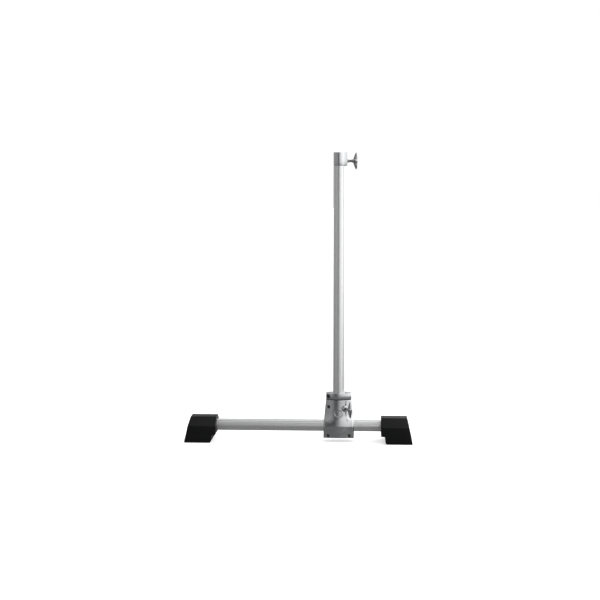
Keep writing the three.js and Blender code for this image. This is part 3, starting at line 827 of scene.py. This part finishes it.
def cap_screw(head, head_height, shank, seat, tip, socket, pitch):
    """A socket-head cap screw along local Z: its head ends at +Z, its threaded tip at -Z."""
    top = seat + head_height
    knurls, knurl_depth = 60, 0.22
    # Height, how far inside the head's radius, and whether the knurls are cut there.
    levels = [(seat + FIT, 0.35, 0), (seat + FIT + 0.35, 0, 0), (seat + 1.2, 0, 0), (seat + 1.25, 0, 1),
              (top - 1.25, 0, 1), (top - 1.2, 0, 0), (top - 0.6, 0.05, 0), (top - 0.2, 0.3, 0),
              (top, 0.75, 0)]
    rings = []
    for z, inset, knurl in levels:
        ring = []
        for i in range(knurls * 2):
            a = math.pi * i / knurls
            r = head - inset - (knurl_depth * knurl if i % 2 else 0)
            ring.append((r * math.cos(a), r * math.sin(a), z))
        rings.append(ring)
    bm = ring_loft(rings)
    key = prism(lambda _: polygon(6, socket), top - 0.55 * head_height, top + 2)
    mouth = revolve([(0, top - 0.5), (socket - 0.25, top - 0.5),
                     (socket + 0.55, top + 0.3), (0, top + 0.3)], 48)
    bm = boolean(bm, [key, mouth])
    root = 0.86 * shank
    neck = seat - 17.5                           # a plain shank above this, thread below
    if neck < tip + 2:
        return joined(bm, thread_rod(root, shank, pitch, tip, seat + 1.5, 24))
    plain = revolve([(0, neck - 0.5), (shank, neck - 0.5), (shank, seat + 1.5), (0, seat + 1.5)], 24)
    return joined(bm, plain, thread_rod(root, shank, pitch, tip, neck, 24))


def hex_nut(radius, bore, height):
    """A nut along local Z from 0 to its height, with chamfered corners and bore."""
    block = prism(lambda _: polygon(6, radius, HEX_TURN), 0, height)
    flat = radius * math.cos(HEX_TURN)
    dome = revolve([(0, 0), (flat * 0.97, 0), (radius + 0.05, (radius - flat) * 0.62),
                    (radius + 0.05, height - (radius - flat) * 0.62), (flat * 0.97, height), (0, height)], 72)
    bm = boolean(block, [dome], "INTERSECT")
    return boolean(bm, [revolve([(0, -1), (bore + 1, -1), (bore + 0.5, 0), (bore, 0.6), (bore, height - 0.6),
                                 (bore + 0.5, height), (bore + 1, height + 1), (0, height + 1)], 36)])


RING_BOLT_X = local("clamp_ring_bolt").x


def fasten(name, bm, place, body, node):
    """One black steel screw or nut, put in its place."""
    finish_piece(name, moved(bm, place), body, BLACK_STEEL, [node])


def make_screws():
    """Cap screws with their heads to the front, and nuts behind."""
    for place, face in HOUSING_SCREWS:
        screw, nut = f"housing_screw_{place}", f"housing_nut_{place}"
        c = middle_mm(screw)
        seat = face - SCREW_SINK - M6_HEAD_HEIGHT
        bm = cap_screw(M6_HEAD, M6_HEAD_HEIGHT, 3.0, seat, -box_mm(screw)[1].y, 2.9, 1.0)
        fasten(f"cap_screw_{place}", bm, axis_frame((c.x, 0, c.z), (0, -1, 0)), "base", screw)
        low, high = box_mm(nut)[0].y, box_mm(nut)[1].y
        bm = hex_nut(M6_NUT, M6_HOLE, high - low)
        fasten(f"hex_nut_{place}", bm, axis_frame((c.x, low, c.z), (0, 1, 0)), "base", nut)
    screw, nut = "clamp_ring_bolt", "clamp_ring_nut"
    c = middle_mm(screw)
    seat = bulge_depth(RING_BOLT_X) - SCREW_SINK - M8_HEAD_HEIGHT
    bm = cap_screw(M8_HEAD, M8_HEAD_HEIGHT, 4.0, seat, -box_mm(screw)[1].y, 3.5, 1.25)
    fasten("ring_cap_screw", bm, axis_frame((c.x, 0, c.z), (0, -1, 0)), "stop_ring", screw)
    low, high = box_mm(nut)[0].y, box_mm(nut)[1].y
    bm = hex_nut(M8_NUT, M8_HOLE, high - low)
    fasten("ring_hex_nut", bm, axis_frame((c.x, low, c.z), (0, 1, 0)), "stop_ring", nut)


# ---------------- clamp ring and liner

def plate_outline(half_width, inset=0.0):
    """The housing's plan at its upper end, anticlockwise: one oval sweep on each side."""
    front = []
    for step in spread(110, 0.6):
        x = step * half_width
        front.append((x, -(bulge_depth(x) - rolled(half_width - abs(x), EDGE_RADIUS))))
    rear = [(x, -y) for x, y in reversed(front)]
    return offset_outline(front + rear, inset)


def make_ring():
    low, high = box_mm("clamp_ring")
    half = (high.x - low.x) / 2
    bolt = local("clamp_ring_bolt")
    seat = bulge_depth(RING_BOLT_X) - SCREW_SINK - M8_HEAD_HEIGHT
    bm = prism(lambda inset: plate_outline(half, inset), low.z, high.z, 1.1, 5)
    tools = [
        flared_cutter(TUBE_RADIUS + FIT, low.z - 5, high.z, 0.8, sides=96),
        box_mesh((-60, -1.2, low.z - 2), (-10, 1.2, high.z + 2)),
        moved(flared_cutter(M8_HEAD + 0.7, seat, bulge_depth(RING_BOLT_X) + SLOPE_RISE, 0.7),
              axis_frame((bolt.x, 0, bolt.z), (0, -1, 0))),
        moved(chamfered_rod(M8_HOLE, -50, 50, 0.1, 32), axis_frame((bolt.x, 0, bolt.z), (0, -1, 0))),
        hex_cutter(bolt.x, bolt.z, seat, M8_NUT + 0.5),
    ]
    finish_piece("clamp_ring_casting", moved(boolean(bm, tools), Matrix.Translation(MAST_AXIS)), "stop_ring",
                 CAST, ["clamp_ring"], angle=38)


def make_liner():
    low, high = box_mm("mast_liner")
    bore = TUBE_RADIUS + FIT
    sleeve = chamfered_sleeve(bore + LINER_WALL, bore, low.z, high.z, 0.3, 96)
    half = housing_half_width(HOUSING_HIGH.z)
    # The plate's black edge is partly painted shade: besides its real recess, set in from the housing's
    # outline, it stands in for the shadowed gap line between housing and clamp ring.
    plate = prism(lambda inset: plate_outline(half, LINER_INSET + inset),
                  high.z - LINER_PLATE, high.z, 0.3, 3)
    plate = boolean(plate, [chamfered_rod(bore + 0.8, low.z, high.z + 5, 0.1, 96)])
    slit = box_mesh((0, 0, 0), (60, 1.5, 200))
    screw_hole = moved(chamfered_rod(STUD_HOLE + 0.25, 10, 30, 0.1, 32), wing_frame(LOWER_Z))
    bm = boolean(joined(sleeve, plate), [slit, screw_hole])
    finish_piece("mast_liner_moulding", moved(bm, Matrix.Translation(MAST_AXIS)), "base", NYLON,
                 ["mast_liner"])


# ---------------- pole collar

COLLAR_LOW, COLLAR_HIGH = box_mm("pole_collar")
COLLAR_BORE = 15.0
TOP_WING_Z = middle_mm("top_insert").z


def collar_outline(inset=0.0):
    """The collar in plan, anticlockwise: round, with a lug towards the wing screw."""
    reach = COLLAR_HIGH.x - MAST_X
    half, corner_radius = 10.0, 2.5              # of the lug
    meet = math.radians(42)                      # where the round gives way to the lug
    steps = 96
    points = []
    for i in range(steps + 1):
        a = meet + (2 * math.pi - 2 * meet) * i / steps
        points.append((TUBE_RADIUS * math.cos(a), TUBE_RADIUS * math.sin(a)))
    for sign in (-1, 1):
        corner = [(reach - corner_radius * (1 - math.sin(t)),
                   sign * (half - corner_radius * (1 - math.cos(t))))
                  for t in [math.pi / 2 * i / 6 for i in range(7)]]
        points += corner if sign < 0 else reversed(corner)
    return offset_outline(points, inset)


def make_collar():
    low = MAST_HIGH.z + FIT
    top = COLLAR_HIGH.z
    bm = prism(collar_outline, low, top, 0.9, 4)
    spigot = chamfered_rod(TUBE_RADIUS - TUBE_WALL - FIT, COLLAR_LOW.z, low + 3, 0.6, 96)
    bm = joined(bm, spigot)
    bore = revolve([(0, COLLAR_LOW.z - 2), (COLLAR_BORE + 0.8, COLLAR_LOW.z - 2),
                    (COLLAR_BORE, COLLAR_LOW.z + 0.8), (COLLAR_BORE, top - 2), (COLLAR_BORE + 0.6, top - 1.1),
                    (COLLAR_BORE + 2, top), (COLLAR_BORE + 4, top + 1.5), (0, top + 1.5)], 96)
    pin = middle_mm("collar_pin")
    bush_hole = chamfered_rod(INSERT_RADIUS + FIT, 10, 40, 0.1, 48)
    pin_hole = chamfered_rod(PIN_HOLE, 0, 30, 0.1, 24)
    tools = [bore, moved(bush_hole, axis_frame((0, 0, TOP_WING_Z), (1, 0, 0))),
             moved(pin_hole, axis_frame((0, 0, pin.z), (0, 1, 0)))]
    finish_piece("pole_collar_casting", moved(boolean(bm, tools), Matrix.Translation(MAST_AXIS)), "mast",
                 CAST, ["pole_collar"], angle=38)


# ---------------- wing screws

KNOB_LENGTH = 17.0
KNOB_BORE_DEPTH = 10.3


def wing_edges(t):
    """The wing's inner and outer edge along the knob's axis, at t from the hub (0) to a tip (1)."""
    return 10.0 * t, KNOB_LENGTH - 2.4 * t ** 2


def wing_section(t, along, start):
    """One section across a wing: broad flat faces with rounded edges, closing in at the tip."""
    inner, outer = wing_edges(t)
    tip = math.sqrt(max(0.0, 1 - t ** 7))
    middle = (inner + outer) / 2
    half = (outer - inner) / 2 * (0.15 + 0.85 * tip)
    thick = (4.4 - 2.0 * t) * (0.2 + 0.8 * tip)
    power, corners = 2 / 5, 36
    ring = []
    for i in range(corners):
        a = 2 * math.pi * i / corners
        c, n = math.cos(a), math.sin(a)
        ring.append((along, math.copysign(abs(n) ** power, n) * thick,
                     start + middle + math.copysign(abs(c) ** power, c) * half))
    return ring


def wing_knob(start, span):
    """The two-winged knob along local Z from its neck, wings along local X."""
    rings = []
    sections, crowding = 44, 0.9
    for k in range(sections + 1):
        s = 2 * k / sections - 1
        s = math.copysign(abs(s) ** crowding, s)
        rings.append(wing_section(abs(s), s * span, start))
    wing = ring_loft(rings)
    end = start + KNOB_LENGTH
    hub = revolve([(0, start - 4), (4.7, start - 4), (5.0, start - 3.6), (5.1, start - 1), (6.4, start + 2.5),
                   (7.2, start + 6), (7.2, end - 5), (6.6, end - 2.4), (5.0, end - 0.6), (2.5, end),
                   (0, end)], 64)
    floor = start + KNOB_BORE_DEPTH
    bore = revolve([(0, start - 9), (5.2, start - 9), (STUD_HOLE, start - 3.6),
                    (STUD_HOLE, floor), (0, floor)], 48)
    return boolean(joined(wing, hub), [bore])


def threaded_bush(name, low, high):
    """A wing screw's bush along local Z; the top one has a narrower neck outside the collar's lug."""
    if name == "top":
        lug = COLLAR_HIGH.x - MAST_X
        mouth = [(INSERT_RADIUS, lug - 0.6), (5.3, lug - 0.5), (5.3, high - 0.5), (4.8, high), (4.7, high),
                 (STUD_HOLE, high - 0.6)]
    else:
        mouth = [(INSERT_RADIUS, high - 0.5), (6.0, high), (4.8, high), (STUD_HOLE, high - 0.7)]
    return revolve([(STUD_HOLE, low), (6.1, low), (INSERT_RADIUS, low + 0.4), *mouth], 64, closed=True)


def make_wing_screw(name, body, pad_body, z, direction, insert_body):
    """Knob, threaded stud, pressure pad and threaded bush of one wing screw."""
    origin = MAST_AXIS + Vector((0, 0, z))
    direction = Vector(direction)
    place = axis_frame(origin, direction)

    def reach(node):
        obj = frame["nodes"][node]
        along = [(v.co / MM - origin).dot(direction) for v in obj.data.vertices]
        return min(along), max(along)

    knob_high = reach(f"{name}_knob")[1]
    span = (box_mm(f"{name}_knob")[1].z - box_mm(f"{name}_knob")[0].z) / 2
    # The wings stand upright at rest, so the knob's local X turns to +Z.
    upright = place @ Matrix.Rotation(math.pi / 2, 4, "Z")
    finish_piece(f"{name}_wing_knob", moved(wing_knob(knob_high - KNOB_LENGTH, span), upright), body,
                 KNOB, [f"{name}_knob"], angle=50)
    # The stud's black oxide is partly painted shade: it stands in for the shade and dark reflection on the
    # thread between bush and knob.
    stud = thread_rod(3.3, 3.85, 1.25, *reach(f"{name}_stud"), 32)
    finish_piece(f"{name}_threaded_stud", moved(stud, place), body,
                 BLACK_STEEL, [f"{name}_stud"], angle=60)
    pad = chamfered_rod(3.8, *reach(f"{name}_pad"), 0.7, 40)
    finish_piece(f"{name}_pressure_pad", moved(pad, place), pad_body, NYLON, [f"{name}_pad"])
    bush = threaded_bush(name, *reach(f"{name}_insert"))
    finish_piece(f"{name}_threaded_bush", moved(bush, place), insert_body, STEEL, [f"{name}_insert"])


def make_wing_screws():
    make_wing_screw("lower", "lower_wing_screw", "lower_clamp_pad", LOWER_Z, WING_DIRECTION, "base")
    make_wing_screw("top", "top_wing_screw", "top_clamp_pad", TOP_WING_Z, (1, 0, 0), "mast")


# ---------------- small inner pieces

def make_small_pieces():
    for node, radius, body in (("dowel_pin_1", 2.5, "base"), ("dowel_pin_2", 2.5, "base"),
                               ("collar_pin", 2.0, "mast")):
        low, high = box_mm(node)
        c = (low + high) / 2
        pin = moved(chamfered_rod(radius, low.y, high.y, 0.4, 32), axis_frame((c.x, 0, c.z), (0, 1, 0)))
        finish_piece(f"{node}_turned", pin, body, STEEL, [node])
    low, high = box_mm("mast_foot_plug")
    inner = TUBE_RADIUS - TUBE_WALL - FIT
    shoulder = MAST_LOW.z - FIT
    plug = revolve([(0, low.z), (18.2, low.z), (19, low.z + 0.8), (19, shoulder - 0.4), (18.6, shoulder),
                    (inner, shoulder), (inner, high.z - 2.7), (14, high.z), (0, high.z)], 96)
    finish_piece("mast_foot_plug_moulding", moved(plug, Matrix.Translation(MAST_AXIS)), "mast",
                 NYLON, ["mast_foot_plug"])


make_base_tube()
make_mast_tube()
make_feet()
make_housing()
make_screws()
make_ring()
make_liner()
make_collar()
make_wing_screws()
make_small_pieces()


# ---------------- stage, light and camera

def soft_sun(name, power, spread):
    """An even light from above that the metals don't mirror."""
    data = bpy.data.lights.new(name, "SUN")
    data.energy = power
    data.angle = math.radians(spread)
    light = bpy.data.objects.new(name, data)
    bpy.context.scene.collection.objects.link(light)
    light.visible_glossy = False
    return light


def make_floor():
    """A wide plain floor, lit a little from within, that the metals don't mirror."""
    bm = bmesh.new()
    bmesh.ops.create_grid(bm, x_segments=8, y_segments=8, size=30)
    floor = raw_object("floor", bm)
    s = Shader("pale_floor", (0.93, 0.93, 0.93), 0.0, 0.9, 0.1)
    s.tint(s.noise(0.8, detail=1.0), (0.925, 0.925, 0.925), (0.935, 0.935, 0.935))
    s.main.inputs["Emission Color"].default_value = (1, 1, 1, 1)
    s.main.inputs["Emission Strength"].default_value = 0.5
    floor.data.materials.append(s.material)
    floor.visible_glossy = False


def ramp_node(nodes, stops):
    """A smooth grey ramp through (place, value) stops."""
    node = nodes.new("ShaderNodeValToRGB")
    node.color_ramp.interpolation = "EASE"
    points = node.color_ramp.elements
    while len(points) < len(stops):
        points.new(0.5)
    for point, (place, value) in zip(points, stops):
        point.position = place
        point.color = (value, value, value * 1.01, 1)
    return node


# Brightness by azimuth in degrees, 0 in front and positive to the right.
ROUND_ABOUT = [(-180, 0.3), (-110, 0.24), (-63, 0.21), (-40, 0.24), (-28, 0.2), (-19, 0.1), (-14, 0.035),
               (-8, 0.04), (-4, 0.12), (1, 0.32), (6, 0.48), (12, 0.58), (28, 0.66), (40, 0.8), (80, 0.95),
               (150, 0.95), (180, 0.6)]
WALL_LIGHT, FLOOR_LIGHT, TOP_LIGHT = 1.6, 0.16, 0.9
BELOW = [(-90, 1), (-11.5, 1), (-6, 0)]           # how far the floor's tone has taken over, by elevation
ABOVE = [(60, 0), (80, 1)]                        # and the ceiling's
BACKDROP = 1.02                                   # what the camera sees behind everything


def make_world():
    """A studio by direction: a white sweep from the front round to the right, a narrow dark flag just left
    of the front, a grey wall on the left, light overhead and dimmer below. The camera sees plain white."""
    world = bpy.data.worlds.new("studio")
    bpy.context.scene.world = world
    world.use_nodes = True
    nodes, links = world.node_tree.nodes, world.node_tree.links
    background = nodes["Background"]
    direction = nodes.new("ShaderNodeTexCoord").outputs["Generated"]
    split = nodes.new("ShaderNodeSeparateXYZ")
    links.new(direction, split.inputs["Vector"])

    def maths(operation, *values):
        """One maths node on numbers or sockets."""
        node = nodes.new("ShaderNodeMath")
        node.operation = operation
        for socket, value in zip(node.inputs, values):
            if isinstance(value, (int, float)):
                socket.default_value = value
            else:
                links.new(value, socket)
        return node.outputs[0]

    def blend(factor, low, high):
        return maths("ADD", low, maths("MULTIPLY", factor, maths("SUBTRACT", high, low)))

    forward = maths("MULTIPLY", split.outputs["Y"], -1.0)
    azimuth = maths("ARCTAN2", split.outputs["X"], forward)
    turn = maths("MULTIPLY_ADD", azimuth, 1 / (2 * math.pi), 0.5)
    round_about = ramp_node(nodes, [(at / 360 + 0.5, value) for at, value in ROUND_ABOUT])
    links.new(turn, round_about.inputs["Fac"])
    rise = maths("MULTIPLY_ADD", split.outputs["Z"], 0.5, 0.5)
    below = ramp_node(nodes, [(0.5 + 0.5 * math.sin(math.radians(at)), value) for at, value in BELOW])
    links.new(rise, below.inputs["Fac"])
    above = ramp_node(nodes, [(0.5 + 0.5 * math.sin(math.radians(at)), value) for at, value in ABOVE])
    links.new(rise, above.inputs["Fac"])
    walls = maths("MULTIPLY", round_about.outputs["Color"], WALL_LIGHT)
    room = blend(above.outputs["Color"], blend(below.outputs["Color"], walls, FLOOR_LIGHT), TOP_LIGHT)
    camera = nodes.new("ShaderNodeLightPath").outputs["Is Camera Ray"]
    seen = blend(camera, room, BACKDROP)
    links.new(seen, background.inputs["Strength"])
    background.inputs["Color"].default_value = (1, 1, 1, 1)


CAMERA_DISTANCE, PICTURE_WIDTH = 4.5, 2.041       # metres
CAMERA_YAW, CAMERA_ELEVATION = math.radians(3.0), math.radians(5.5)
CAMERA_TARGET = Vector((0.004, 0, 0.4847))


def make_camera():
    """A long lens from a little right of the front and a little above."""
    data = bpy.data.cameras.new("camera")
    camera = bpy.data.objects.new("camera", data)
    bpy.context.scene.collection.objects.link(camera)
    data.sensor_width = 36
    data.lens = data.sensor_width * CAMERA_DISTANCE / PICTURE_WIDTH
    data.clip_end = 100
    level = math.cos(CAMERA_ELEVATION)
    back = Vector((math.sin(CAMERA_YAW) * level, -math.cos(CAMERA_YAW) * level, math.sin(CAMERA_ELEVATION)))
    camera.location = CAMERA_TARGET + back * CAMERA_DISTANCE
    camera.rotation_euler = (-back).to_track_quat("-Z", "Y").to_euler()
    bpy.context.scene.camera = camera


make_floor()
make_world()
soft_sun("overhead", 1.3, 150)
make_camera()
bpy.context.scene.view_settings.view_transform = "Standard"
